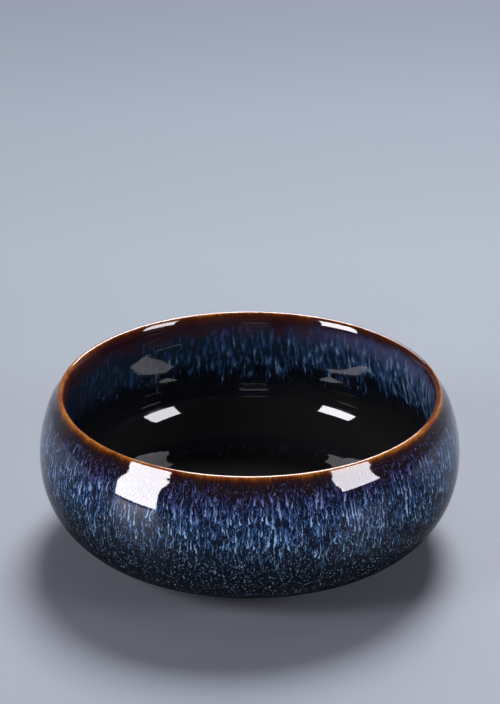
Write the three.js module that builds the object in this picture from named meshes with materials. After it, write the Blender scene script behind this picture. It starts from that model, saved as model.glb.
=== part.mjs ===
// A wheel-thrown stoneware waste water bowl: a squat round bowl with a wide belly, a thin lip
// that curves in, and a turned foot ring. A dark glaze covers it, and a second, blue glaze lies
// over that in two bands, one outside and one inside, which leave the lip free.
// Millimetres, +Z up, origin on the table at the middle of the foot ring.
import * as THREE from "three";

// Outside of the glazed bowl
const BELLY_RADIUS = 80;
const BELLY_HEIGHT = 37.5; // widest point above the table
const BOWL_HEIGHT = 62.3; // top of the lip
const LIP_RADIUS = 71.5; // radius of the ring along the top of the lip
const LOWER_WALL_FULLNESS = 2.2; // 2 is an ellipse, more is squarer
const UPPER_WALL_CURVE = 1.95; // 2 is a parabola

// Foot
const FOOT_OUTER_RADIUS = 46;
const FOOT_RING_WIDTH = 6;
const FOOT_HEIGHT = 5; // table to the underside of the wall
const FOOT_RECESS_DEPTH = 3.6;
const FOOT_EDGE_BEVEL = 0.8;
const FOOT_NECK = 1; // height of the slope where the foot ring meets the wall
const RECESS_SLOPE = 2; // slope where the recess meets the foot ring

// Clay
const WALL_THICKNESS = 4.9; // at the belly
const LIP_OUTER_ROUND = 0.8; // radius of the lip's outer edge
const LIP_OVERHANG = 1.5; // how far the lip's rounded inner side reaches in
const LIP_DROP = 4.2; // and down
const INNER_BELLY_HEIGHT = 32.6; // widest point inside, above the table
const FLOOR_HEIGHT = 8.3; // inside floor above the table
const FLOOR_FLAT_RADIUS = 41;
const FLOOR_CORNER_FULLNESS = 2.3; // how squarely the floor turns up into the wall

// Dark glaze
const BASE_GLAZE_THICKNESS = 0.6;
const LIP_GLAZE_THICKNESS = 0.3; // it runs thin over the lip
const LIP_GLAZE_REACH = 6; // distance from the lip over which it regains its thickness
const BARE_CLAY = 1.2; // unglazed clay between the foot ring and the glaze

// Blue glaze, with places as distances along the wall from the top of the lip
const BLUE_GLAZE_THICKNESS = 0.5;
const BLUE_GLAZE_EDGE = 0.2; // thickness at its ends
const BLUE_GLAZE_FEATHER = 5; // distance over which it thins towards its ends
const OUTER_BLUE_TOP = 2.6;
const OUTER_BLUE_END = 60;
const INNER_BLUE_TOP = 6;
const INNER_BLUE_END = 28;

const COAT_GAP = 0.02; // hair gap under each coat, so that no two solids share a face
const SAME_PLACE = 1e-6; // distances closer than this count as equal

// How finely the round shapes are cut
const TURN_STEPS = 48;
const LOWER_WALL_STEPS = 8;
const UPPER_WALL_STEPS = 5;
const OUTER_LIP_STEPS = 3;
const INNER_LIP_STEPS = 4;

// A quarter of a superellipse from [r0, z0], where it lies flat, to [r1, z1], where it stands.
function quarterTurn([r0, z0], [r1, z1], fullness, steps) {
  const points = [];
  for (let i = 0; i <= steps; i += 1) {
    const a = (i / steps) * (Math.PI / 2);
    const r = r0 + (r1 - r0) * Math.sin(a) ** (2 / fullness);
    const z = z1 - (z1 - z0) * Math.cos(a) ** (2 / fullness);
    points.push([r, z]);
  }
  return points;
}

// The outside above the belly, from just above [r0, z0] to [r1, z1], leaning in more as it rises.
function outerUpperWall([r0, z0], [r1, z1]) {
  const points = [];
  for (let i = 1; i <= UPPER_WALL_STEPS; i += 1) {
    const s = i / UPPER_WALL_STEPS;
    points.push([r0 - (r0 - r1) * s ** UPPER_WALL_CURVE, z0 + (z1 - z0) * s]);
  }
  return points;
}

// The inside between [r0, z0] and [r1, z1], without its ends. It is upright at both.
function innerUpperWall([r0, z0], [r1, z1]) {
  const points = [];
  for (let i = 1; i < UPPER_WALL_STEPS; i += 1) {
    const s = i / UPPER_WALL_STEPS;
    points.push([r0 + (r1 - r0) * s * s * (3 - 2 * s), z0 + (z1 - z0) * s]);
  }
  return points;
}

// The round outer edge of the lip, up to its top, with the outer wall that runs into it.
function outerWallAndLip(belly, lipTop) {
  const centre = [lipTop[0], lipTop[1] - LIP_OUTER_ROUND];
  const lean = Math.atan((UPPER_WALL_CURVE * (belly[0] - centre[0])) / (centre[1] - belly[1]));
  const onEdge = (angle) => [
    centre[0] + LIP_OUTER_ROUND * Math.cos(angle),
    centre[1] + LIP_OUTER_ROUND * Math.sin(angle),
  ];
  const edge = [];
  for (let i = 1; i < OUTER_LIP_STEPS; i += 1) {
    edge.push(onEdge(lean + ((Math.PI / 2 - lean) * i) / OUTER_LIP_STEPS));
  }
  return [...outerUpperWall(belly, onEdge(lean)), ...edge];
}

// The glazed face of the clay, from the foot outside, over the lip, to the middle inside.
function clayFace() {
  const clayBellyRadius = BELLY_RADIUS - BASE_GLAZE_THICKNESS - BLUE_GLAZE_THICKNESS;
  const wallFoot = [FOOT_OUTER_RADIUS + BARE_CLAY, FOOT_HEIGHT];
  const outerBelly = [clayBellyRadius, BELLY_HEIGHT];
  const lipTop = [LIP_RADIUS, BOWL_HEIGHT - LIP_GLAZE_THICKNESS];
  const throat = [LIP_RADIUS - LIP_OVERHANG, lipTop[1] - LIP_DROP];
  const innerBelly = [clayBellyRadius - WALL_THICKNESS, INNER_BELLY_HEIGHT];
  const floorEdge = [FLOOR_FLAT_RADIUS, FLOOR_HEIGHT];
  return [
    ...quarterTurn(wallFoot, outerBelly, LOWER_WALL_FULLNESS, LOWER_WALL_STEPS),
    ...outerWallAndLip(outerBelly, lipTop),
    ...quarterTurn(lipTop, throat, 2, INNER_LIP_STEPS),
    ...innerUpperWall(throat, innerBelly),
    ...quarterTurn(floorEdge, innerBelly, FLOOR_CORNER_FULLNESS, LOWER_WALL_STEPS).reverse(),
    [0, FLOOR_HEIGHT],
  ];
}

// Distance along an outline from its highest point: above 0 outside, below 0 inside.
function runsOf(outline) {
  const along = [0];
  for (let i = 1; i < outline.length; i += 1) {
    const [r, z] = outline[i];
    const [lastR, lastZ] = outline[i - 1];
    along.push(along[i - 1] + Math.hypot(r - lastR, z - lastZ));
  }
  const top = outline.reduce((best, [, z], i) => (z > outline[best][1] ? i : best), 0);
  return along.map((length) => along[top] - length);
}

// The outline with a point added at one run.
function withPointAt(outline, run) {
  const runs = runsOf(outline);
  const next = runs.findIndex((value) => value < run);
  const share = (runs[next - 1] - run) / (runs[next - 1] - runs[next]);
  const [r0, z0] = outline[next - 1];
  const [r1, z1] = outline[next];
  const added = [r0 + (r1 - r0) * share, z0 + (z1 - z0) * share];
  return [...outline.slice(0, next), added, ...outline.slice(next)];
}

// Unit normals of an outline, pointing away from the clay. The last point is on the axis.
function normalsOf(outline) {
  return outline.map((point, i) => {
    if (i === outline.length - 1) return [0, 1];
    const before = outline[Math.max(i - 1, 0)];
    const after = outline[i + 1];
    const along = [after[0] - before[0], after[1] - before[1]];
    const length = Math.hypot(...along);
    return [along[1] / length, -along[0] / length];
  });
}

const blueEnds = [OUTER_BLUE_END, OUTER_BLUE_TOP, -INNER_BLUE_TOP, -INNER_BLUE_END];
const clay = blueEnds.reduce(withPointAt, clayFace());
const clayRuns = runsOf(clay);
const clayNormals = normalsOf(clay);

// The clay's face moved out by the depth that depthAt gives for each point's run.
function raised(depthAt) {
  return clay.map(([r, z], i) => {
    const depth = depthAt(clayRuns[i]);
    return [Math.max(r + clayNormals[i][0] * depth, 0), z + clayNormals[i][1] * depth];
  });
}

// Thickness of the dark glaze.
function baseDepth(run) {
  const share = Math.min(Math.abs(run) / LIP_GLAZE_REACH, 1);
  return LIP_GLAZE_THICKNESS + (BASE_GLAZE_THICKNESS - LIP_GLAZE_THICKNESS) * share;
}

// Closed outline of the dark glaze.
function baseCoat() {
  const under = raised(() => COAT_GAP);
  const over = raised(baseDepth);
  return [...under.reverse(), ...over];
}

// Closed outline of a band of blue glaze between two runs, the first nearer the foot outside.
function blueBand(from, to) {
  const inBand = clayRuns.map((run) => run <= from + SAME_PLACE && run >= to - SAME_PLACE);
  const depth = (run) => {
    const share = Math.min((from - run) / BLUE_GLAZE_FEATHER, (run - to) / BLUE_GLAZE_FEATHER, 1);
    return BLUE_GLAZE_EDGE + (BLUE_GLAZE_THICKNESS - BLUE_GLAZE_EDGE) * Math.max(share, 0);
  };
  const under = raised((run) => baseDepth(run) + COAT_GAP).filter((point, i) => inBand[i]);
  const over = raised((run) => baseDepth(run) + depth(run)).filter((point, i) => inBand[i]);
  return [...over, ...under.reverse(), over[0]];
}

// Underside from the middle out: recess, foot ring with softened edges, and neck.
function footOutline() {
  const ringInner = FOOT_OUTER_RADIUS - FOOT_RING_WIDTH;
  return [
    [0, FOOT_RECESS_DEPTH],
    [ringInner - RECESS_SLOPE, FOOT_RECESS_DEPTH],
    [ringInner, FOOT_RECESS_DEPTH - RECESS_SLOPE],
    [ringInner, FOOT_EDGE_BEVEL],
    [ringInner + FOOT_EDGE_BEVEL, 0],
    [FOOT_OUTER_RADIUS - FOOT_EDGE_BEVEL, 0],
    [FOOT_OUTER_RADIUS, FOOT_EDGE_BEVEL],
    [FOOT_OUTER_RADIUS, FOOT_HEIGHT - FOOT_NECK],
  ];
}

// Turns an outline of [radius, height] points into a closed round mesh.
function turned(name, outline, colour, roughness) {
  const points = outline.map(([r, z]) => new THREE.Vector2(r, z));
  const geometry = new THREE.LatheGeometry(points, TURN_STEPS);
  geometry.rotateX(Math.PI / 2);
  const material = new THREE.MeshStandardMaterial({ color: colour, roughness, metalness: 0 });
  const mesh = new THREE.Mesh(geometry, material);
  mesh.name = name;
  return mesh;
}

const CLAY_BROWN = 0x8d7a68;
const IRON_BLACK = 0x140f12;
const STREAK_BLUE = 0x2c4a78;

const outerBand = blueBand(OUTER_BLUE_END, OUTER_BLUE_TOP);
const innerBand = blueBand(-INNER_BLUE_TOP, -INNER_BLUE_END);

const bowl = new THREE.Group();
bowl.add(
  turned("stoneware_body", [...footOutline(), ...clay], CLAY_BROWN, 0.85),
  turned("base_glaze", baseCoat(), IRON_BLACK, 0.12),
  turned("outer_blue_glaze", outerBand, STREAK_BLUE, 0.1),
  turned("inner_blue_glaze", innerBand, STREAK_BLUE, 0.1),
);

export default bowl;
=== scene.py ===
"""Finishes the waste water bowl: thrown clay, a running blue glaze over iron black, and a studio."""

import math
from typing import NamedTuple

import bpy
import numpy as np
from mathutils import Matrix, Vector


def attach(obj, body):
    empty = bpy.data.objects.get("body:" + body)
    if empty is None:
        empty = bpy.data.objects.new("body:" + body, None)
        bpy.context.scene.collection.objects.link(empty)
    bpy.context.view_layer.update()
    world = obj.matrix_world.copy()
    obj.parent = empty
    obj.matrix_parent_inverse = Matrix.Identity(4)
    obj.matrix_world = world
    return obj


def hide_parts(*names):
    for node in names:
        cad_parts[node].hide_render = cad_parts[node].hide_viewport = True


bl_info = {
    "name": "Waste Water Bowl",
    "version": (1, 0, 0),
    "blender": (4, 5, 0),
    "location": "3D View > Sidebar > Bowl",
    "description": "Models and glazes a squat stoneware waste water bowl",
    "category": "Add Mesh",
}

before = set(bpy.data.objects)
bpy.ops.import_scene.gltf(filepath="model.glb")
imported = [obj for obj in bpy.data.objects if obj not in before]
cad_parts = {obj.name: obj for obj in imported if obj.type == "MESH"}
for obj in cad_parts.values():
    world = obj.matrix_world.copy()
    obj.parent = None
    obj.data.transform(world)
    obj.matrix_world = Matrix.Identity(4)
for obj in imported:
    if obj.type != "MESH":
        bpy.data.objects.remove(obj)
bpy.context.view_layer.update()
MM = 0.001

# Curves of the outline
LOWER_FULLNESS = 2.2  # outside below the belly: 2 is an ellipse, more is squarer
UPPER_CURVE = 1.95  # outside above the belly: 2 is a parabola
FLOOR_FULLNESS = 2.3  # how squarely the floor turns up into the wall

# How finely the round shapes are cut
CLAY_WALL_STEPS = 24
GLAZE_WALL_STEPS = 40
UPPER_STEPS = 20
LIP_STEPS = 8
FLOOR_RINGS = 10
CLAY_TURNS = 192
GLAZE_TURNS = 256
SAME_PLACE = 0.01 * MM
SHARP_EDGE = 30  # degrees between faces past which an edge of the foot stays sharp

# Where the glazes lie, as distances along the wall from the top of the lip
LIP_REACH = 6 * MM  # where the iron glaze regains its thickness
OUTER_BLUE_TOP = 2.6 * MM
OUTER_BLUE_END = 60 * MM
INNER_BLUE_TOP = 6 * MM
INNER_BLUE_END = 28 * MM
BLUE_FEATHER = 5 * MM  # over which the blue thins out towards its ends
GLAZE_GAP = 0.02 * MM  # between the clay and the glaze
PATTERN_CLOSES = 30 * MM  # radius on the floor inside which the glaze's pattern closes up

# Bare clay
CLAY_GRIT = MM / 0.9  # across one speck
CLAY_GRIT_HEIGHT = 0.1 * MM
CLAY_GRIT_STRENGTH = 0.3
CLAY_SHADES = ((0.3, 0.7), (0.7, 1.1))  # a noise value and its share of the clay's colour
CLAY_ROUGHNESS = 0.85

# The glaze's patterns are in millimetres. The wall's places run from the top of the lip: above 0 is
# outside and below 0 inside, and the one turns into the other over this much each side of the top
LIP_BLEND = 3

# It ran unevenly, so its patterns bend: by up to so much in X, Y and down the wall, and less inside
BENDS_PER_MM = 0.22
SWAY = (1.7, 1.7, 4)
INSIDE_SWAY = 0.35

# Noises stretched down the wall: millimetres across, millimetres along, detail
GLAZE_NOISES = {
    "threads": (0.3, 4, 2),
    "strands": (0.9, 4.5, 2),
    "gaps": (1.7, 5.5, 1),
    "patches": (8, 13, 1),
}
NOISE_ROUGHNESS = 0.55
NOISE_MIDDLE = 0.5

# Painted light and shade inside: the glaze is drawn milky violet towards the bowl's right, where light
# falls, and with thinner streaks towards its left, in shade, from one of these places to the other, and lies
# higher where lit
PAINTED_LIGHT_SIDE = (15, 75)
PAINTED_SHADE_SIDE = (-10, -70)
PAINTED_LIGHT_RISE = 6

# How far the edges of its zones wander with the patches and with the strands. Inside, from the first
# of two places to the second, they grow cleaner, and wander with the strands only by the last value
PATCH_WANDER = 12
STRAND_WANDER = 12
CLEANING = (-24, -10)
CLEAN_WANDER = 2

# What the glaze does down the wall, by place
ZONE_START = -50
ZONE_END = 75
BLUE_SHOWING = (
    (-37, 0.0),
    (-32, 0.25),
    (-27, 0.45),
    (-20, 0.58),
    (-13, 0.58),
    (-9, 0.53),
    (-6, 0.36),
    (-4, 0.1),
    (2, 0.1),
    (4, 0.24),
    (8, 0.36),
    (12, 0.43),
    (17, 0.43),
    (24, 0.4),
    (30, 0.36),
    (36, 0.27),
    (44, 0.16),
    (52, 0.08),
    (60, 0.0),
)
DRIPS_SHOWING = (
    (-31, 0.0),
    (-28, 0.5),
    (-23, 0.45),
    (-17, 0.0),
    (-4, 0.0),
    (2.5, 0.0),
    (6, 0.5),
    (11, 1.0),
    (28, 1.0),
    (36, 0.8),
    (44, 0.7),
    (52, 0.5),
    (58, 0.0),
)
# Where down the wall the painted light on the right inside shows
PAINTED_LIGHT_SHOWING = ((-18, 0.0), (-13, 0.7), (-8, 1.0), (-3, 0.7), (0, 0.0))
SPECKS_SHOWING = (
    (-36, 0.0),
    (-30, 0.15),
    (-20, 0.0),
    (2, 0.0),
    (3.5, 0.7),
    (8, 0.5),
    (14, 0.3),
    (26, 0.5),
    (35, 1.0),
    (52, 1.0),
    (57, 0.0),
)

# The web's cells, across and along, and its lines: from their soft edge to where they are full, as
# shares of a cell
WEB_ACROSS = 1.3
WEB_ALONG = 4.4
WEB_LINE = (0.2, 0.02)

# Drips inside are this much finer than outside, so below 1 they are coarser
INSIDE_FINENESS = 0.55


class DripLayer(NamedTuple):
    across: float  # millimetres across a cell, and each cell holds one drip
    along: float  # millimetres along it
    strength: float
    reach: float  # millimetres down from the lip that they reach outside


# Small drips reach lower
DRIP_LAYERS = (DripLayer(2.3, 9.5, 1.0, 32), DripLayer(1.6, 6, 1.0, 40), DripLayer(0.9, 3, 0.75, 52))
DRIP_FADE = 8  # millimetres over which a layer ends

# A drip's half width from its tail above to its bead below, and its soft edge, as shares of its cell
DRIP_TAIL = -0.55
DRIP_END = 0.5
DRIP_WIDTHS = ((-0.55, 0.0), (-0.4, 0.1), (0.1, 0.13), (0.28, 0.2), (0.4, 0.22), (0.5, 0.0))
DRIP_EDGE = (-0.01, 0.06)

# Each cell draws a lot from 0 to 1: its drip is missing up to the first and at full strength from the
# second. A drip's tail has this share of its bead's strength
DRIP_LOTS = (0.15, 0.9)
TAIL_STRENGTH = 0.35

# How thickly the blue lies: what adds to it, and where streaks and then their brightest parts begin
COLUMNS_FLOOR = 0.1  # least thickness between the broad columns inside
COVER_WEIGHTS = {
    "fine": 2.3,
    "gaps": 1.4,
    "web": 0.4,
    "drips": 1.65,
    "showing": 2.0,
    # Painted shade and light inside: fewer streaks towards the left, more towards the right
    "fewer_streaks_painted_shade": -0.45,
    "more_streaks_painted_light": 0.75,
}
STREAKED = (3.02, 3.45)
BRIGHT = (3.68, 4.12)

# Specks: their cells, across and along, and their edge as a share of a cell
SPECK_ACROSS = 0.95
SPECK_ALONG = 1.2
SPECK_EDGE = (0.32, 0.14)

# The lip's colours lie by place too. Ripples, patches and the painted light on the right inside move them by
# so much, and it turns rusty in places and has dark flecks
LIP_START = -10
LIP_END = 10
LIP_COVERS = ((-7, 0.0), (-4, 1.0), (2.4, 1.0), (4.4, 0.0))
RIPPLE_ACROSS = 0.45
RIPPLE_ALONG = 5
RIPPLE_SWING = 3.6
PATCH_SWING = 2.4
PAINTED_LIGHT_SWING = 2.4
RUST_PER_MM = 0.05
RUSTY = (0.42, 0.62)
RUST_TINT = "#DDBCBC"  # what the lip's colours are multiplied by
FLECKS_PER_MM = 1.7
FLECKED = (0.58, 0.68)
FLECK_DEPTH = 0.75

# The glaze's surface
RELIEF = 0.004 * MM
PATCH_RELIEF = 9  # times that of the strands
GLAZE_ROUGHNESS = 0.03
GLAZE_IOR = 1.55

# The photograph's frame, in pixels, and the camera, in degrees and metres
PHOTO_WIDTH = 500
PHOTO_HEIGHT = 704
TARGET_X = 249.7
TARGET_Y = 451.3
PIXELS_PER_MM = 2.618
CAMERA_ELEVATION = 26.96
CAMERA_REACH = 1.1
TARGET_HEIGHT = 0.036
SENSOR_HEIGHT = 24

# Studio paper: its tints by metres behind the bowl's middle, painted lighter and then darker as the light
# falls off, and its painted shading by metres to the right
PAPER_SIZE = 6
PAPER_NEAR = -0.15
PAPER_FAR = 0.7
PAPER_TINTS_AND_PAINTED_FALLOFF = (
    (-0.1245, "#A5ADBA"),
    (-0.048, "#ABB1BE"),
    (0.088, "#B0B8C5"),
    (0.156, "#B2BBC8"),
    (0.275, "#B6C1CE"),
    (0.462, "#B3BCCC"),
    (0.632, "#A7B0C1"),
)
PAPER_SIDE = 0.12
PAPER_SIDE_PAINTED_SHADES = (0.96, 1.03)
# Painted shade in reflections: towards the front, from the first place to the second, the glaze mirrors the
# paper as this dark colour
PAPER_IN_FRONT = (0.08, -0.02)
PAPER_MIRRORED_SHADE = "#45484E"
PAPER_ROUGHNESS = 0.6
PAPER_MIRRORED_ROUGHNESS = 0.48
PAPER_SPECULAR = 0.12

# The main light stands high behind the bowl, a little to the right. Its angles are in degrees
KEY_BEARING = 166.2
KEY_ELEVATION = 54.9
KEY_SPREAD = 23
KEY_STRENGTH = 2.72

LAMP_TINT = "#FBF7FF"


class Lamp(NamedTuple):
    name: str
    bearing: float  # degrees round the bowl: 0 towards the camera, above 0 to the right
    away: float  # metres from the bowl's axis
    up: float  # metres above the table
    facing: float  # bearing that its light comes from: its own where it faces the bowl's axis
    tilt: float  # degrees down from upright
    width: float  # metres
    height: float  # metres
    radiance: float


# Soft light from both sides, from above and from a low card in front, for the wall and the paper
FILLS = (
    Lamp("fill_left", -59, 1.04, 0.595, -59, 30, 0.37, 0.37, 9.3),
    Lamp("fill_right", 67, 1.13, 0.41, 67, 20, 0.34, 0.34, 8.4),
    Lamp("overhead", 0, 0, 1.2, 0, 90, 0.45, 0.45, 1),
    Lamp("front_card", 0, 1.3, 0.05, 0, 1, 1.2, 0.08, 14),
)

# What the glaze mirrors: two softboxes in front and the main light's panel behind
MIRRORED_PANELS = (
    Lamp("softbox_left", -59.1, 0.822, 0.3, -60.6, 0, 0.354, 0.56, 20),
    Lamp("softbox_right", 59.6, 0.917, 0.5025, 75.2, 0, 0.374, 0.545, 15),
    Lamp("panel_behind", 174, 0.8, 1, 174, 50, 0.5, 0.75, 26),
)

# The room: its strength as light, as the camera sees it, as the glaze mirrors it, and as it mirrors it
# low behind the bowl, with the heights of a ray between which that glow fades
ROOM_TINT = "#B9C2CE"
ROOM_LIGHT = 0.005
ROOM_SEEN = 0.75
ROOM_MIRRORED = 0.06
ROOM_GLOW = 0.75
GLOW_BEHIND = (0.1, 0.9)
GLOW_TOP = 0.5


def millimetres(value):
    return value / MM


def linear(hex_colour):
    """Turns an sRGB hex colour into the linear values that shaders take."""
    channels = [int(hex_colour[i : i + 2], 16) / 255 for i in (1, 3, 5)]
    return tuple(c / 12.92 if c <= 0.04045 else ((c + 0.055) / 1.055) ** 2.4 for c in channels)


def length(name, description, default):
    """A property that holds a length in metres."""
    return bpy.props.FloatProperty(
        name=name, description=description, default=default, subtype="DISTANCE", unit="LENGTH", precision=5
    )


def colour(name, description, hex_colour):
    """A property that holds a colour."""
    return bpy.props.FloatVectorProperty(
        name=name, description=description, default=linear(hex_colour), subtype="COLOR", min=0, max=1
    )


class BowlSizes(bpy.types.PropertyGroup):
    belly_radius: length("Belly radius", "Widest radius over the glaze", 80 * MM)
    belly_height: length("Belly height", "Height of the widest point outside", 37.5 * MM)
    height: length("Height", "Table to the top of the lip", 62.3 * MM)
    lip_radius: length("Lip radius", "Radius of the ring along the top of the lip", 71.5 * MM)
    lip_outer_round: length("Lip outer round", "Radius of the lip's outer edge", 0.8 * MM)
    lip_overhang: length("Lip overhang", "How far the lip's inner side reaches in", 1.5 * MM)
    lip_drop: length("Lip drop", "How far the lip's inner side reaches down", 4.2 * MM)
    foot_radius: length("Foot radius", "Outer radius of the foot ring", 46 * MM)
    foot_ring_width: length("Foot ring width", "Width of the turned foot ring", 6 * MM)
    foot_height: length("Foot height", "Table to the underside of the wall", 5 * MM)
    foot_bevel: length("Foot bevel", "Softened edges of the foot ring", 0.8 * MM)
    foot_neck: length("Foot neck", "Slope where the foot ring meets the wall", 1 * MM)
    recess_depth: length("Recess depth", "Depth of the hollow inside the foot ring", 3.6 * MM)
    recess_slope: length("Recess slope", "Slope where the hollow meets the foot ring", 2 * MM)
    wall: length("Wall", "Thickness of the clay at the belly", 4.9 * MM)
    inner_belly_height: length("Inner belly height", "Height of the widest point inside", 32.6 * MM)
    floor_height: length("Floor height", "Height of the clay floor above the table", 8.3 * MM)
    floor_flat: length("Floor flat", "Radius of the flat middle of the inside floor", 41 * MM)
    dark_glaze: length("Dark glaze", "Thickness of the iron glaze", 0.6 * MM)
    lip_glaze: length("Lip glaze", "Thickness of the iron glaze over the lip", 0.3 * MM)
    blue_glaze: length("Blue glaze", "Thickness of the blue glaze over the iron glaze", 0.5 * MM)
    bare_clay: length("Bare clay", "Unglazed clay between the foot ring and the glaze", 1.2 * MM)


class BowlColours(bpy.types.PropertyGroup):
    clay: colour("Clay", "Bare fired stoneware", "#8A7462")
    iron_black: colour("Iron black", "Thick iron glaze", "#131822")
    # Partly painted reflection: the pooled iron glaze is drawn lighter grey for the sheen it mirrors
    floor_black_and_sheen: colour("Floor black", "Pooled iron glaze inside", "#282827")
    midnight: colour("Midnight", "Iron glaze inside, below the blue", "#131826")
    navy: colour("Navy", "Blue glaze between the streaks", "#101930")
    maroon: colour("Maroon", "Iron glaze a little way from the lip", "#24171F")
    plum: colour("Plum", "Iron glaze inside, where the blue begins", "#45323F")
    rust: colour("Rust", "Iron glaze inside, just below the lip", "#653120")
    umber: colour("Umber", "Iron glaze where it begins to thin", "#3C1D14")
    chestnut: colour("Chestnut", "Iron glaze thinning towards the lip", "#6A3414")
    amber: colour("Amber", "Iron glaze running thin over the lip", "#A8601C")
    gold: colour("Gold", "Thinnest glaze, on the crest of the lip", "#D08A34")
    indigo: colour("Indigo", "Blue glaze inside, between the streaks", "#283A50")
    # Painted light: a pale violet wash drawn over the blue on the right inside, where the light falls
    violet_and_painted_light: colour("Milk", "Milky blue inside, on the right", "#7880B4")
    violet: colour("Violet", "Streaks high on the wall", "#484F84")
    blue: colour("Blue", "Streaks on the middle of the wall", "#41699E")
    teal: colour("Teal", "Streaks low on the wall", "#41698A")
    lilac: colour("Lilac", "Brightest streaks high on the wall", "#8793C4")
    sky: colour("Sky", "Brightest streaks on the middle of the wall", "#AACDF0")
    aqua: colour("Aqua", "Brightest streaks low on the wall", "#A2BDCC")


def sizes():
    return bpy.context.scene.bowl_sizes


def colours():
    return bpy.context.scene.bowl_colours


def node(tree, kind, inputs=None, stops=None, **settings):
    """Adds a node with its settings, its inputs (values or sockets to link) and its ramp's stops."""
    made = tree.nodes.new(kind)
    for key, value in settings.items():
        setattr(made, key, value)
    for socket, value in (inputs or {}).items():
        if isinstance(value, bpy.types.NodeSocket):
            tree.links.new(value, made.inputs[socket])
        else:
            made.inputs[socket].default_value = value
    if stops:
        elements = made.color_ramp.elements
        while len(elements) < len(stops):
            elements.new(1)
        for element, (place, shade) in zip(elements, stops):
            element.position = place
            element.color = (*shade, 1) if hasattr(shade, "__len__") else (shade, shade, shade, 1)
    return made


def new_material(name):
    """A new material, with its tree and its shader."""
    made = bpy.data.materials.new(name)
    made.use_nodes = True
    return made, made.node_tree, made.node_tree.nodes["Principled BSDF"]


def ramp_stops(stops, start, end):
    """A ramp's stops with their places as shares of the way from start to end."""
    return [((place - start) / (end - start), value) for place, value in stops]


def weighted_sum(tree, parts):
    """Adds up pairs of a value and its weight."""
    total = 0
    for part, weight in parts:
        added = node(tree, "ShaderNodeMath", {0: part, 1: weight, 2: total}, operation="MULTIPLY_ADD")
        total = added.outputs[0]
    return total


def quarter_turn(start, end, fullness, steps):
    """A quarter of a superellipse from start, where it lies flat, to end, where it stands."""
    points = []
    for i in range(steps + 1):
        angle = i / steps * math.pi / 2
        radius = start[0] + (end[0] - start[0]) * math.sin(angle) ** (2 / fullness)
        height = end[1] - (end[1] - start[1]) * math.cos(angle) ** (2 / fullness)
        points.append((radius, height))
    return points


def outer_wall_and_lip(belly, lip_top):
    """The outside above the belly, which leans in, and the round outer edge of the lip."""
    edge = sizes().lip_outer_round
    centre = (lip_top[0], lip_top[1] - edge)
    lean = math.atan(UPPER_CURVE * (belly[0] - centre[0]) / (centre[1] - belly[1]))
    end = (centre[0] + edge * math.cos(lean), centre[1] + edge * math.sin(lean))
    points = []
    for i in range(1, UPPER_STEPS + 1):
        share = i / UPPER_STEPS
        radius = belly[0] - (belly[0] - end[0]) * share**UPPER_CURVE
        points.append((radius, belly[1] + (end[1] - belly[1]) * share))
    for i in range(1, LIP_STEPS):
        angle = lean + (math.pi / 2 - lean) * i / LIP_STEPS
        points.append((centre[0] + edge * math.cos(angle), centre[1] + edge * math.sin(angle)))
    return points


def inner_upper_wall(throat, belly):
    """The inside between the lip and its widest point, upright at both."""
    points = []
    for i in range(1, UPPER_STEPS):
        share = i / UPPER_STEPS
        radius = throat[0] + (belly[0] - throat[0]) * share**2 * (3 - 2 * share)
        points.append((radius, throat[1] + (belly[1] - throat[1]) * share))
    return points


def foot_outline():
    """The underside from its middle out: recess, foot ring with softened edges, and neck."""
    s = sizes()
    ring_inner = s.foot_radius - s.foot_ring_width
    return [
        (0, s.recess_depth),
        (ring_inner - s.recess_slope, s.recess_depth),
        (ring_inner, s.recess_depth - s.recess_slope),
        (ring_inner, s.foot_bevel),
        (ring_inner + s.foot_bevel, 0),
        (s.foot_radius - s.foot_bevel, 0),
        (s.foot_radius, s.foot_bevel),
        (s.foot_radius, s.foot_height - s.foot_neck),
    ]


def clay_face(wall_steps):
    """The clay surface under the glaze, from the foot outside, over the lip, to the middle inside."""
    s = sizes()
    clay_radius = s.belly_radius - s.dark_glaze - s.blue_glaze
    wall_foot = (s.foot_radius + s.bare_clay, s.foot_height)
    belly = (clay_radius, s.belly_height)
    lip_top = (s.lip_radius, s.height - s.lip_glaze)
    throat = (s.lip_radius - s.lip_overhang, lip_top[1] - s.lip_drop)
    inner_belly = (clay_radius - s.wall, s.inner_belly_height)
    floor_edge = (s.floor_flat, s.floor_height)
    points = quarter_turn(wall_foot, belly, LOWER_FULLNESS, wall_steps)
    points += outer_wall_and_lip(belly, lip_top)
    points += quarter_turn(lip_top, throat, 2, 2 * LIP_STEPS)
    points += inner_upper_wall(throat, inner_belly)
    points += quarter_turn(floor_edge, inner_belly, FLOOR_FULLNESS, wall_steps)[::-1]
    points += [(s.floor_flat * i / FLOOR_RINGS, s.floor_height) for i in range(FLOOR_RINGS - 1, -1, -1)]
    return points


def raised(outline, depths):
    """Moves each point of an outline out from the clay by its depth."""
    moved = []
    last = len(outline) - 1
    for i, (radius, height) in enumerate(outline):
        before = outline[max(i - 1, 0)]
        after = outline[min(i + 1, last)]
        along = Vector((after[0] - before[0], after[1] - before[1])).normalized()
        moved.append((max(radius + along.y * depths[i], 0), height - along.x * depths[i]))
    return moved


def runs(outline):
    """Signed distance along an outline from its highest point: above 0 outside, below 0 inside."""
    along = [0]
    for (r0, z0), (r1, z1) in zip(outline, outline[1:]):
        along.append(along[-1] + math.hypot(r1 - r0, z1 - z0))
    top = max(range(len(outline)), key=lambda i: outline[i][1])
    return [along[top] - a for a in along]


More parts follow.
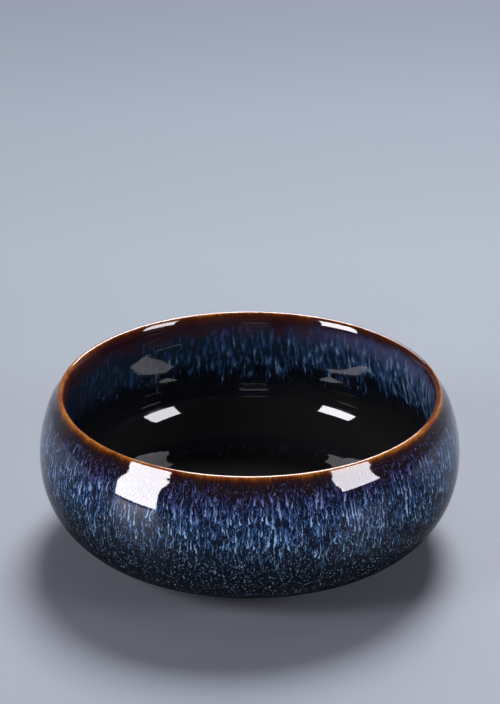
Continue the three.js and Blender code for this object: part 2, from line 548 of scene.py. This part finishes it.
def glaze_depths(outline):
    """Thickness of both glazes at each point of the clay's face."""
    s = sizes()
    depths = []
    for run in runs(outline):
        thinned = min(abs(run) / LIP_REACH, 1)
        depth = s.lip_glaze + (s.dark_glaze - s.lip_glaze) * thinned
        top, end = (OUTER_BLUE_TOP, OUTER_BLUE_END) if run > 0 else (INNER_BLUE_TOP, INNER_BLUE_END)
        feather = min((abs(run) - top) / BLUE_FEATHER, (end - abs(run)) / BLUE_FEATHER, 1)
        depths.append(depth + s.blue_glaze * max(feather, 0))
    return depths


def thrown(name, outline, turns, run_of=None):
    """Spins an outline of (radius, height) round Z, and keeps each point's run for the glaze."""
    bpy.ops.object.select_all(action="DESELECT")
    bpy.ops.mesh.primitive_plane_add(size=MM, location=(0, 0, 0))
    piece = bpy.context.object
    piece.name = name
    bpy.ops.object.mode_set(mode="EDIT")
    bpy.ops.mesh.select_all(action="SELECT")
    bpy.ops.mesh.merge(type="CENTER")
    bpy.ops.transform.translate(value=(outline[0][0], 0, outline[0][1]))
    for (r0, z0), (r1, z1) in zip(outline, outline[1:]):
        bpy.ops.mesh.extrude_region_move(TRANSFORM_OT_translate={"value": (r1 - r0, 0, z1 - z0)})
    bpy.ops.object.mode_set(mode="OBJECT")
    for place, (radius, height) in zip(piece.data.vertices, outline):
        place.co = (radius, 0, height)
    if run_of:
        run = piece.data.attributes.new("run", "FLOAT", "POINT")
        run.data.foreach_set("value", run_of)
    bpy.ops.object.mode_set(mode="EDIT")
    bpy.ops.mesh.select_all(action="SELECT")
    bpy.ops.mesh.spin(steps=turns, angle=math.tau, center=(0, 0, 0), axis=(0, 0, 1))
    bpy.ops.mesh.select_all(action="SELECT")
    bpy.ops.mesh.remove_doubles(threshold=SAME_PLACE)
    bpy.ops.mesh.normals_make_consistent(inside=False)
    bpy.ops.object.mode_set(mode="OBJECT")
    bpy.ops.object.shade_smooth()
    return piece


def keep_flow(mesh):
    """Keeps each point's place on the wall in millimetres, as the attribute that the glaze reads.

    X and Y go round the bowl, and Z is the run. In the middle of the floor, X and Y close up, so that
    the pattern has no knot there.
    """
    count = len(mesh.vertices)
    place = np.empty(count * 3)
    mesh.vertices.foreach_get("co", place)
    place = place.reshape(-1, 3)
    run = np.empty(count)
    mesh.attributes["run"].data.foreach_get("value", run)
    angle = np.arctan2(place[:, 0], -place[:, 1])
    closing = np.minimum(np.hypot(place[:, 0], place[:, 1]) / PATTERN_CLOSES, 1)
    girth = millimetres(sizes().belly_radius) * closing
    flow = np.stack([girth * np.cos(angle), girth * np.sin(angle), millimetres(run)], axis=1)
    kept = mesh.attributes.new("flow", "FLOAT_VECTOR", "POINT")
    kept.data.foreach_set("vector", flow.ravel())


def clay_material():
    """Fired stoneware, turned and left bare: it looks dry and slightly gritty."""
    made, tree, shader = new_material("bare_fired_stoneware")
    place = node(tree, "ShaderNodeTexCoord").outputs["Object"]
    speckle = node(tree, "ShaderNodeTexNoise", {"Vector": place, "Scale": 1 / CLAY_GRIT, "Detail": 4})
    stops = [(value, [share * c for c in colours().clay]) for value, share in CLAY_SHADES]
    tone = node(tree, "ShaderNodeValToRGB", {"Fac": speckle.outputs["Fac"]}, stops=stops)
    bump = node(
        tree,
        "ShaderNodeBump",
        {
            "Height": speckle.outputs["Fac"],
            "Strength": CLAY_GRIT_STRENGTH,
            "Distance": CLAY_GRIT_HEIGHT,
        },
    )
    tree.links.new(tone.outputs["Color"], shader.inputs["Base Color"])
    tree.links.new(bump.outputs["Normal"], shader.inputs["Normal"])
    shader.inputs["Roughness"].default_value = CLAY_ROUGHNESS
    return made


def bending(tree, flow, outside):
    """How far the glaze's patterns are bent at each place."""
    noise = node(tree, "ShaderNodeTexNoise", {"Vector": flow, "Scale": BENDS_PER_MM, "Detail": 3})
    swing = node(
        tree,
        "ShaderNodeVectorMath",
        {0: noise.outputs["Color"], 1: [2 * sway for sway in SWAY], 2: [-sway for sway in SWAY]},
        operation="MULTIPLY_ADD",
    ).outputs["Vector"]
    freedom = node(tree, "ShaderNodeMix", {"Factor": outside, "A": INSIDE_SWAY, "B": 1}).outputs["Result"]
    scaled = node(tree, "ShaderNodeVectorMath", {0: swing, "Scale": freedom}, operation="SCALE")
    return scaled.outputs["Vector"]


def stretched_noises(tree, bent):
    """The glaze's noises by name."""
    noises = {}
    for name, (across, along, detail) in GLAZE_NOISES.items():
        stretch = (1 / across, 1 / across, 1 / along)
        stretched = node(tree, "ShaderNodeVectorMath", {0: bent, 1: stretch}, operation="MULTIPLY")
        noises[name] = node(
            tree,
            "ShaderNodeTexNoise",
            {
                "Vector": stretched.outputs["Vector"],
                "Scale": 1,
                "Detail": detail,
                "Roughness": NOISE_ROUGHNESS,
            },
        ).outputs["Fac"]
    return noises


def side_inside(tree, flow, outside, side):
    """How far towards one side of the bowl a place lies, inside only."""
    across = node(tree, "ShaderNodeSeparateXYZ", {"Vector": flow}).outputs["Y"]
    start, end = side
    sideways = node(tree, "ShaderNodeMapRange", {"Value": across, "From Min": start, "From Max": end})
    inside = node(tree, "ShaderNodeMix", {"Factor": outside, "A": sideways.outputs[0], "B": 0})
    return inside.outputs["Result"]


def zone_places(tree, run, outside, painted_light_right, noises):
    """Each place's run, moved up or down where the edges of the glaze's zones wander, and so that they lie
    higher where light is painted on the right inside.
    """
    lifted = node(
        tree, "ShaderNodeMath", {0: painted_light_right, 1: -PAINTED_LIGHT_RISE, 2: run}, operation="MULTIPLY_ADD"
    ).outputs[0]
    uneven = node(
        tree,
        "ShaderNodeMath",
        {0: noises["patches"], 1: PATCH_WANDER, 2: -PATCH_WANDER * NOISE_MIDDLE},
        operation="MULTIPLY_ADD",
    ).outputs[0]
    start, end = CLEANING
    inside = node(
        tree,
        "ShaderNodeMapRange",
        {
            "Value": run,
            "From Min": start,
            "From Max": end,
            "To Min": STRAND_WANDER,
            "To Max": CLEAN_WANDER,
        },
    ).outputs[0]
    raggedness = node(
        tree, "ShaderNodeMix", {"Factor": outside, "A": inside, "B": STRAND_WANDER}
    ).outputs["Result"]
    strand = node(
        tree, "ShaderNodeMath", {0: noises["strands"], 1: NOISE_MIDDLE}, operation="SUBTRACT"
    ).outputs[0]
    ragged = node(tree, "ShaderNodeMath", {0: strand, 1: raggedness}, operation="MULTIPLY").outputs[0]
    wavy = node(tree, "ShaderNodeMath", {0: lifted, 1: uneven}, operation="ADD").outputs[0]
    return node(tree, "ShaderNodeMath", {0: wavy, 1: ragged}, operation="ADD").outputs[0]


def zone_values(tree, zone_run):
    """What the glaze does and its colours at each place, by name."""
    c = colours()
    tables = {
        "showing": BLUE_SHOWING,
        "drips": DRIPS_SHOWING,
        "specks": SPECKS_SHOWING,
        "violet_and_painted_light": PAINTED_LIGHT_SHOWING,
        "ground": (
            # The floor's grey is partly a painted sheen
            (-40, c.floor_black_and_sheen),
            (-30, c.midnight),
            (-21, c.indigo),
            (-11, c.indigo),
            (-6.5, c.plum),
            (-3.5, c.plum),
            (4, c.maroon),
            (6, c.maroon),
            (12, c.navy),
            (26, c.navy),
            (40, c.iron_black),
        ),
        "streak": ((-14, c.blue), (-8, c.violet), (10, c.violet), (18, c.blue), (23, c.blue), (30, c.teal)),
        "light": ((-14, c.sky), (-8, c.lilac), (9, c.lilac), (17, c.sky), (22, c.sky), (31, c.aqua)),
    }
    zone = node(
        tree, "ShaderNodeMapRange", {"Value": zone_run, "From Min": ZONE_START, "From Max": ZONE_END}
    ).outputs[0]
    values = {}
    for name, table in tables.items():
        stops = ramp_stops(table, ZONE_START, ZONE_END)
        values[name] = node(tree, "ShaderNodeValToRGB", {"Fac": zone}, stops=stops).outputs["Color"]
    return values


def laid_flat(tree, flow, run, outside, down):
    """The wall laid flat, in millimetres: X goes round the bowl and Y is the run.

    Its seam is where the camera never looks: behind the bowl outside, and in front inside.
    """
    turned = node(tree, "ShaderNodeVectorMath", {0: flow, "Scale": down}, operation="SCALE")
    sides = node(tree, "ShaderNodeSeparateXYZ", {"Vector": turned.outputs["Vector"]}).outputs
    bearing = node(tree, "ShaderNodeMath", {0: sides["Y"], 1: sides["X"]}, operation="ARCTAN2").outputs[0]
    girth = millimetres(sizes().belly_radius)
    radius = node(
        tree, "ShaderNodeMix", {"Factor": outside, "A": INSIDE_FINENESS * girth, "B": girth}
    ).outputs["Result"]
    around = node(tree, "ShaderNodeMath", {0: bearing, 1: radius}, operation="MULTIPLY").outputs[0]
    return node(tree, "ShaderNodeCombineXYZ", {"X": around, "Y": run}).outputs["Vector"]


def web_lines(tree, flat, outside):
    """A web of thin lines round long dark gaps, outside only."""
    stretch = (1 / WEB_ACROSS, 1 / WEB_ALONG, 0)
    place = node(tree, "ShaderNodeVectorMath", {0: flat, 1: stretch}, operation="MULTIPLY").outputs["Vector"]
    cell = node(
        tree,
        "ShaderNodeTexVoronoi",
        {"Vector": place, "Scale": 1},
        voronoi_dimensions="2D",
        feature="DISTANCE_TO_EDGE",
    )
    edge, full = WEB_LINE
    line = node(
        tree, "ShaderNodeMapRange", {"Value": cell.outputs["Distance"], "From Min": edge, "From Max": full}
    ).outputs[0]
    return node(tree, "ShaderNodeMath", {0: line, 1: outside}, operation="MULTIPLY").outputs[0]


def drip_layer(tree, flat, down, zone_run, layer):
    """One layer of drips, each of which ends in a bead at its lower end."""
    stretch = (1 / layer.across, 1 / layer.along, 0)
    place = node(tree, "ShaderNodeVectorMath", {0: flat, 1: stretch}, operation="MULTIPLY").outputs["Vector"]
    cell = node(tree, "ShaderNodeTexVoronoi", {"Vector": place, "Scale": 1}, voronoi_dimensions="2D")
    in_cell = node(
        tree, "ShaderNodeVectorMath", {0: place, 1: cell.outputs["Position"]}, operation="SUBTRACT"
    ).outputs["Vector"]
    offset = node(tree, "ShaderNodeSeparateXYZ", {"Vector": in_cell}).outputs
    sideways = node(tree, "ShaderNodeMath", {0: offset["X"]}, operation="ABSOLUTE").outputs[0]
    below = node(tree, "ShaderNodeMath", {0: offset["Y"], 1: down}, operation="MULTIPLY").outputs[0]
    along = node(
        tree, "ShaderNodeMapRange", {"Value": below, "From Min": DRIP_TAIL, "From Max": DRIP_END}
    ).outputs[0]
    widths = ramp_stops(DRIP_WIDTHS, DRIP_TAIL, DRIP_END)
    half_width = node(tree, "ShaderNodeValToRGB", {"Fac": along}, stops=widths).outputs["Color"]
    spare = node(tree, "ShaderNodeMath", {0: half_width, 1: sideways}, operation="SUBTRACT").outputs[0]
    edge, full = DRIP_EDGE
    shape = node(tree, "ShaderNodeMapRange", {"Value": spare, "From Min": edge, "From Max": full}).outputs[0]

    # Each cell's lot says how strongly its drip shows, and the layer ends at its reach
    lot = node(tree, "ShaderNodeSeparateColor", {"Color": cell.outputs["Color"]}).outputs["Red"]
    reaching = node(
        tree,
        "ShaderNodeMapRange",
        {
            "Value": zone_run,
            "From Min": layer.reach,
            "From Max": layer.reach - DRIP_FADE,
            "To Max": layer.strength,
        },
    ).outputs[0]
    lowest, highest = DRIP_LOTS
    drawn = node(
        tree,
        "ShaderNodeMapRange",
        {"Value": lot, "From Min": lowest, "From Max": highest, "To Max": reaching},
    ).outputs[0]
    fading = node(tree, "ShaderNodeMapRange", {"Value": along, "To Min": TAIL_STRENGTH}).outputs[0]
    drip = node(tree, "ShaderNodeMath", {0: shape, 1: drawn}, operation="MULTIPLY").outputs[0]
    return node(tree, "ShaderNodeMath", {0: drip, 1: fading}, operation="MULTIPLY").outputs[0]


def drips(tree, flat, down, zone_run, showing):
    """All layers of drips, where the zones let them show."""
    strongest = 0
    for layer in DRIP_LAYERS:
        shown = drip_layer(tree, flat, down, zone_run, layer)
        strongest = node(tree, "ShaderNodeMath", {0: shown, 1: strongest}, operation="MAXIMUM").outputs[0]
    return node(tree, "ShaderNodeMath", {0: strongest, 1: showing}, operation="MULTIPLY").outputs[0]


def pale_specks(tree, bent, showing):
    """Pale specks, mostly where the blue thins out near the foot."""
    stretch = (1 / SPECK_ACROSS, 1 / SPECK_ACROSS, 1 / SPECK_ALONG)
    place = node(tree, "ShaderNodeVectorMath", {0: bent, 1: stretch}, operation="MULTIPLY").outputs["Vector"]
    speck = node(tree, "ShaderNodeTexVoronoi", {"Vector": place, "Scale": 1})
    edge, full = SPECK_EDGE
    dot = node(
        tree, "ShaderNodeMapRange", {"Value": speck.outputs["Distance"], "From Min": edge, "From Max": full}
    ).outputs[0]
    lot = node(tree, "ShaderNodeSeparateColor", {"Color": speck.outputs["Color"]}).outputs["Red"]
    paleness = node(tree, "ShaderNodeMath", {0: showing, 1: lot}, operation="MULTIPLY").outputs[0]
    return node(tree, "ShaderNodeMath", {0: dot, 1: paleness}, operation="MULTIPLY").outputs[0]


def streaked_blue(tree, cover, painted_light_right, bent, zones):
    """The wall's colours: ground, streaks, painted light on the right inside, brightest parts and specks."""
    start, end = STREAKED
    low = node(tree, "ShaderNodeMapRange", {"Value": cover, "From Min": start, "From Max": end}).outputs[0]
    start, end = BRIGHT
    high = node(tree, "ShaderNodeMapRange", {"Value": cover, "From Min": start, "From Max": end}).outputs[0]
    violet_and_painted_light = node(tree, "ShaderNodeMath", {0: painted_light_right, 1: zones["violet_and_painted_light"]}, operation="MULTIPLY").outputs[0]
    tone = zones["ground"]
    for share, shade in (
        (low, zones["streak"]),
        (violet_and_painted_light, (*colours().violet_and_painted_light, 1)),
        (high, zones["light"]),
        (pale_specks(tree, bent, zones["specks"]), zones["light"]),
    ):
        tone = node(
            tree, "ShaderNodeMix", {"Factor": share, "A": tone, "B": shade}, data_type="RGBA"
        ).outputs["Result"]
    return tone


def lip_tone(tree, flow, lip_zone):
    """The lip's colours: gold on its crest, amber, then umber, rusty in places and with dark flecks."""
    c = colours()
    tints = (
        (-4.6, c.plum),
        (-2.4, c.rust),
        (-1.3, c.chestnut),
        (-0.7, c.amber),
        (0, c.gold),
        (0.8, c.amber),
        (1.6, c.chestnut),
        (2.5, c.umber),
        (3.6, c.maroon),
    )
    stops = ramp_stops(tints, LIP_START, LIP_END)
    tint = node(tree, "ShaderNodeValToRGB", {"Fac": lip_zone}, stops=stops).outputs["Color"]
    rust = node(tree, "ShaderNodeTexNoise", {"Vector": flow, "Scale": RUST_PER_MM, "Detail": 1})
    start, end = RUSTY
    rusty = node(
        tree, "ShaderNodeMapRange", {"Value": rust.outputs["Fac"], "From Min": start, "From Max": end}
    ).outputs[0]
    rusted = node(
        tree,
        "ShaderNodeMix",
        {"Factor": rusty, "A": tint, "B": (*linear(RUST_TINT), 1)},
        data_type="RGBA",
        blend_type="MULTIPLY",
    ).outputs["Result"]
    flecks = node(tree, "ShaderNodeTexNoise", {"Vector": flow, "Scale": FLECKS_PER_MM, "Detail": 1})
    start, end = FLECKED
    flecked = node(
        tree,
        "ShaderNodeMapRange",
        {"Value": flecks.outputs["Fac"], "From Min": start, "From Max": end, "To Max": FLECK_DEPTH},
    ).outputs[0]
    return node(
        tree, "ShaderNodeMix", {"Factor": flecked, "A": rusted, "B": (*c.umber, 1)}, data_type="RGBA"
    ).outputs["Result"]


def lip_places(tree, flow, run, painted_light_right, patches):
    """Each place's share of the way across the lip, which fine ripples and patches make uneven."""
    stretch = (1 / RIPPLE_ACROSS, 1 / RIPPLE_ACROSS, 1 / RIPPLE_ALONG)
    place = node(tree, "ShaderNodeVectorMath", {0: flow, 1: stretch}, operation="MULTIPLY").outputs["Vector"]
    ripples = node(tree, "ShaderNodeTexNoise", {"Vector": place, "Scale": 1, "Detail": 2}).outputs["Fac"]
    # The painted light on the right inside moves the lip's colours too
    swings = ((ripples, RIPPLE_SWING), (patches, PATCH_SWING), (painted_light_right, -PAINTED_LIGHT_SWING))
    centring = -(RIPPLE_SWING + PATCH_SWING) * NOISE_MIDDLE
    lip_run = weighted_sum(tree, ((run, 1), *swings, (centring, 1)))
    zone = node(tree, "ShaderNodeMapRange", {"Value": lip_run, "From Min": LIP_START, "From Max": LIP_END})
    return zone.outputs[0]


def glaze_material():
    """A running blue glaze over iron black, fired glossy: it breaks amber over the thin lip."""
    made, tree, shader = new_material("running_blue_over_iron_black_glaze")
    flow = node(tree, "ShaderNodeAttribute", attribute_name="flow").outputs["Vector"]
    run = node(tree, "ShaderNodeSeparateXYZ", {"Vector": flow}).outputs["Z"]
    outside = node(
        tree, "ShaderNodeMapRange", {"Value": run, "From Min": -LIP_BLEND, "From Max": LIP_BLEND}
    ).outputs[0]
    sway = bending(tree, flow, outside)
    bent = node(tree, "ShaderNodeVectorMath", {0: flow, 1: sway}, operation="ADD").outputs["Vector"]
    noises = stretched_noises(tree, bent)
    # Painted light: towards the bowl's right inside, where light falls, the glaze is drawn milky and thicker
    painted_light_right = side_inside(tree, flow, outside, PAINTED_LIGHT_SIDE)
    zone_run = zone_places(tree, run, outside, painted_light_right, noises)
    zones = zone_values(tree, zone_run)

    # The drips and the web lie on the wall laid flat. Downwards is away from the lip
    down = node(tree, "ShaderNodeMath", {0: run}, operation="SIGN").outputs[0]
    spread = laid_flat(tree, flow, run, outside, down)
    flat = node(tree, "ShaderNodeVectorMath", {0: spread, 1: sway}, operation="ADD").outputs["Vector"]

    # How thickly the blue lies: in fine threads outside, and in broad columns inside
    columns = node(tree, "ShaderNodeMapRange", {"Value": noises["gaps"], "To Min": COLUMNS_FLOOR}).outputs[0]
    thickness = {
        "fine": node(
            tree, "ShaderNodeMix", {"Factor": outside, "A": columns, "B": noises["threads"]}
        ).outputs["Result"],
        "gaps": noises["gaps"],
        "web": web_lines(tree, flat, outside),
        "drips": drips(tree, flat, down, zone_run, zones["drips"]),
        "showing": zones["showing"],
        # Painted shade: towards the bowl's left inside, fewer streaks
        "fewer_streaks_painted_shade": side_inside(tree, flow, outside, PAINTED_SHADE_SIDE),
        "more_streaks_painted_light": node(
            tree, "ShaderNodeMath", {0: painted_light_right, 1: zones["showing"]}, operation="MULTIPLY"
        ).outputs[0],
    }
    cover = weighted_sum(tree, [(thickness[name], weight) for name, weight in COVER_WEIGHTS.items()])
    wall = streaked_blue(tree, cover, painted_light_right, bent, zones)

    # The lip takes over where the blue ends
    lip_zone = lip_places(tree, flow, run, painted_light_right, noises["patches"])
    lip_stops = ramp_stops(LIP_COVERS, LIP_START, LIP_END)
    lip_cover = node(tree, "ShaderNodeValToRGB", {"Fac": lip_zone}, stops=lip_stops).outputs["Color"]
    tone = node(
        tree,
        "ShaderNodeMix",
        {"Factor": lip_cover, "A": wall, "B": lip_tone(tree, flow, lip_zone)},
        data_type="RGBA",
    ).outputs["Result"]
    tree.links.new(tone, shader.inputs["Base Color"])

    # The glass-smooth surface still follows the patches and the streaks a little
    relief = weighted_sum(tree, ((noises["strands"], 1), (noises["patches"], PATCH_RELIEF)))
    bump = node(tree, "ShaderNodeBump", {"Height": relief, "Strength": 1, "Distance": RELIEF})
    tree.links.new(bump.outputs["Normal"], shader.inputs["Normal"])
    shader.inputs["Roughness"].default_value = GLAZE_ROUGHNESS
    shader.inputs["IOR"].default_value = GLAZE_IOR
    return made


def paper_material():
    """Matte studio paper, blue-grey, painted lighter and then darker again behind the bowl as the light
    falls off.
    """
    made, tree, shader = new_material("matte_studio_paper")
    place = node(tree, "ShaderNodeTexCoord").outputs["Object"]
    split = node(tree, "ShaderNodeSeparateXYZ", {"Vector": place}).outputs
    depth = node(
        tree, "ShaderNodeMapRange", {"Value": split["Y"], "From Min": PAPER_NEAR, "From Max": PAPER_FAR}
    ).outputs[0]
    # Painted light and shade: lighter and then darker behind the bowl, as the studio light falls off
    tints = [(at, linear(tint)) for at, tint in PAPER_TINTS_AND_PAINTED_FALLOFF]
    stops = ramp_stops(tints, PAPER_NEAR, PAPER_FAR)
    shade = node(tree, "ShaderNodeValToRGB", {"Fac": depth}, stops=stops).outputs["Color"]
    # Painted shade: darker to the left and lighter to the right
    left_shade, right_shade = PAPER_SIDE_PAINTED_SHADES
    rightward = node(
        tree,
        "ShaderNodeMapRange",
        {
            "Value": split["X"],
            "From Min": -PAPER_SIDE,
            "From Max": PAPER_SIDE,
            "To Min": left_shade,
            "To Max": right_shade,
        },
    ).outputs[0]
    graded = node(tree, "ShaderNodeVectorMath", {0: shade, "Scale": rightward}, operation="SCALE")

    # Painted shade: in front, the glaze mirrors the paper darker and smoother than the camera sees it
    mirrored = node(tree, "ShaderNodeLightPath").outputs["Is Glossy Ray"]
    start, end = PAPER_IN_FRONT
    in_front = node(
        tree, "ShaderNodeMapRange", {"Value": split["Y"], "From Min": start, "From Max": end}
    ).outputs[0]
    dimming = node(tree, "ShaderNodeMath", {0: mirrored, 1: in_front}, operation="MULTIPLY").outputs[0]
    dimmed = node(
        tree,
        "ShaderNodeMix",
        {"Factor": dimming, "A": graded.outputs["Vector"], "B": (*linear(PAPER_MIRRORED_SHADE), 1)},
        data_type="RGBA",
    ).outputs["Result"]
    roughness = node(
        tree,
        "ShaderNodeMapRange",
        {"Value": mirrored, "To Min": PAPER_ROUGHNESS, "To Max": PAPER_MIRRORED_ROUGHNESS},
    ).outputs[0]
    tree.links.new(dimmed, shader.inputs["Base Color"])
    tree.links.new(roughness, shader.inputs["Roughness"])
    shader.inputs["Specular IOR Level"].default_value = PAPER_SPECULAR
    return made


def from_bowl(bearing, distance, height):
    """A place seen from the bowl: bearing in degrees, 0 towards the camera and above 0 to the right."""
    angle = math.radians(bearing)
    return Vector((distance * math.sin(angle), -distance * math.cos(angle), height))


def hang_key_light():
    """Hangs the main light, which the glaze doesn't mirror."""
    bpy.ops.object.light_add(type="SUN")
    key = bpy.context.object
    key.name = "key_light"
    key.data.energy = KEY_STRENGTH
    key.data.angle = math.radians(KEY_SPREAD)
    towards = from_bowl(KEY_BEARING, 1, math.tan(math.radians(KEY_ELEVATION)))
    key.rotation_euler = towards.to_track_quat("Z", "Y").to_euler()
    key.visible_glossy = False


def hang_panel(panel):
    """Hangs a rectangular light that faces the bowl."""
    place = from_bowl(panel.bearing, panel.away, panel.up)
    turn = (math.pi / 2 - math.radians(panel.tilt), 0, math.radians(panel.facing))
    bpy.ops.object.light_add(type="AREA", location=place, rotation=turn)
    lamp = bpy.context.object
    lamp.name = panel.name
    lamp.data.shape = "RECTANGLE"
    lamp.data.size = panel.width
    lamp.data.size_y = panel.height
    lamp.data.energy = panel.radiance * panel.width * panel.height * math.pi
    lamp.data.color = linear(LAMP_TINT)
    lamp.visible_camera = False
    return lamp


def light_room():
    """Lights the room dimly.

    The glaze mirrors it a little lighter, and lit low behind the bowl. The camera sees it as light as
    the paper.
    """
    world = bpy.context.scene.world or bpy.data.worlds.new("studio")
    bpy.context.scene.world = world
    world.use_nodes = True
    tree = world.node_tree
    background = tree.nodes["Background"]
    background.inputs["Color"].default_value = (*linear(ROOM_TINT), 1)
    towards = node(tree, "ShaderNodeTexCoord").outputs["Generated"]
    split = node(tree, "ShaderNodeSeparateXYZ", {"Vector": towards}).outputs
    start, end = GLOW_BEHIND
    behind = node(
        tree, "ShaderNodeMapRange", {"Value": split["Y"], "From Min": start, "From Max": end}
    ).outputs[0]
    glow = node(
        tree,
        "ShaderNodeMapRange",
        {
            "Value": split["Z"],
            "From Min": GLOW_TOP,
            "From Max": 0,
            "To Min": ROOM_MIRRORED,
            "To Max": ROOM_GLOW,
        },
    ).outputs[0]
    room = node(tree, "ShaderNodeMix", {"Factor": behind, "A": ROOM_MIRRORED, "B": glow}).outputs["Result"]
    rays = node(tree, "ShaderNodeLightPath").outputs
    unseen = node(
        tree, "ShaderNodeMix", {"Factor": rays["Is Glossy Ray"], "A": ROOM_LIGHT, "B": room}
    ).outputs["Result"]
    strength = node(tree, "ShaderNodeMix", {"Factor": rays["Is Camera Ray"], "A": unseen, "B": ROOM_SEEN})
    tree.links.new(strength.outputs["Result"], background.inputs["Strength"])


def set_camera():
    """Sets the camera as the photograph was taken."""
    bpy.ops.object.camera_add()
    camera = bpy.context.object
    elevation = math.radians(CAMERA_ELEVATION)
    target = Vector((0, 0, TARGET_HEIGHT))
    back = Vector((0, -CAMERA_REACH * math.cos(elevation), CAMERA_REACH * math.sin(elevation)))
    camera.location = target + back
    camera.rotation_euler = (math.pi / 2 - elevation, 0, 0)
    camera.data.sensor_fit = "VERTICAL"
    camera.data.sensor_height = SENSOR_HEIGHT
    camera.data.lens = PIXELS_PER_MM * millimetres(CAMERA_REACH) / PHOTO_HEIGHT * SENSOR_HEIGHT
    camera.data.shift_x = (PHOTO_WIDTH / 2 - TARGET_X) / PHOTO_HEIGHT
    camera.data.shift_y = (TARGET_Y - PHOTO_HEIGHT / 2) / PHOTO_HEIGHT
    bpy.context.scene.camera = camera


class BOWL_OT_clay_body(bpy.types.Operator):
    """Throws the clay body and turns its foot ring"""

    bl_idname = "bowl.clay_body"
    bl_label = "Clay Body"

    def execute(self, context):
        piece = thrown("clay_body", foot_outline() + clay_face(CLAY_WALL_STEPS), CLAY_TURNS)
        piece.data.materials.append(clay_material())
        bpy.ops.object.shade_smooth_by_angle(angle=math.radians(SHARP_EDGE))
        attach(piece, "root")
        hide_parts("stoneware_body")
        return {"FINISHED"}


class BOWL_OT_glaze_coat(bpy.types.Operator):
    """Pours both glazes as one fused skin over the clay"""

    bl_idname = "bowl.glaze_coat"
    bl_label = "Glaze Coat"

    def execute(self, context):
        clay = clay_face(GLAZE_WALL_STEPS)
        bed = raised(clay, [GLAZE_GAP] * len(clay))
        face = raised(clay, glaze_depths(clay))
        run_of = runs(bed)[::-1] + runs(face)
        piece = thrown("glaze_coat", bed[::-1] + face, GLAZE_TURNS, run_of)
        keep_flow(piece.data)
        piece.data.materials.append(glaze_material())
        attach(piece, "root")
        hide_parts("base_glaze", "outer_blue_glaze", "inner_blue_glaze")
        return {"FINISHED"}


class BOWL_OT_studio(bpy.types.Operator):
    """Lays the paper, hangs the lights and sets the camera"""

    bl_idname = "bowl.studio"
    bl_label = "Studio"

    def execute(self, context):
        bpy.ops.object.select_all(action="DESELECT")
        bpy.ops.mesh.primitive_plane_add(size=PAPER_SIZE, location=(0, 0, 0))
        paper = context.object
        paper.name = "backdrop"
        paper.data.materials.append(paper_material())
        hang_key_light()
        for fill in FILLS:
            hang_panel(fill).visible_glossy = False
        for panel in MIRRORED_PANELS:
            hang_panel(panel).visible_diffuse = False
        light_room()
        set_camera()
        context.scene.view_settings.view_transform = "Standard"
        return {"FINISHED"}


class BOWL_PT_panel(bpy.types.Panel):
    """Lists the bowl's pieces and the studio"""

    bl_label = "Waste Water Bowl"
    bl_idname = "BOWL_PT_panel"
    bl_space_type = "VIEW_3D"
    bl_region_type = "UI"
    bl_category = "Bowl"

    def draw(self, context):
        for step in STEPS:
            self.layout.operator(step.bl_idname)


STEPS = (BOWL_OT_clay_body, BOWL_OT_glaze_coat, BOWL_OT_studio)
CLASSES = (BowlSizes, BowlColours, *STEPS, BOWL_PT_panel)


def register():
    for item in CLASSES:
        bpy.utils.register_class(item)
    bpy.types.Scene.bowl_sizes = bpy.props.PointerProperty(type=BowlSizes)
    bpy.types.Scene.bowl_colours = bpy.props.PointerProperty(type=BowlColours)


def unregister():
    del bpy.types.Scene.bowl_colours
    del bpy.types.Scene.bowl_sizes
    for item in reversed(CLASSES):
        bpy.utils.unregister_class(item)


def main():
    register()
    bpy.ops.bowl.clay_body()
    bpy.ops.bowl.glaze_coat()
    bpy.ops.bowl.studio()


if __name__ == "__main__":
    main()
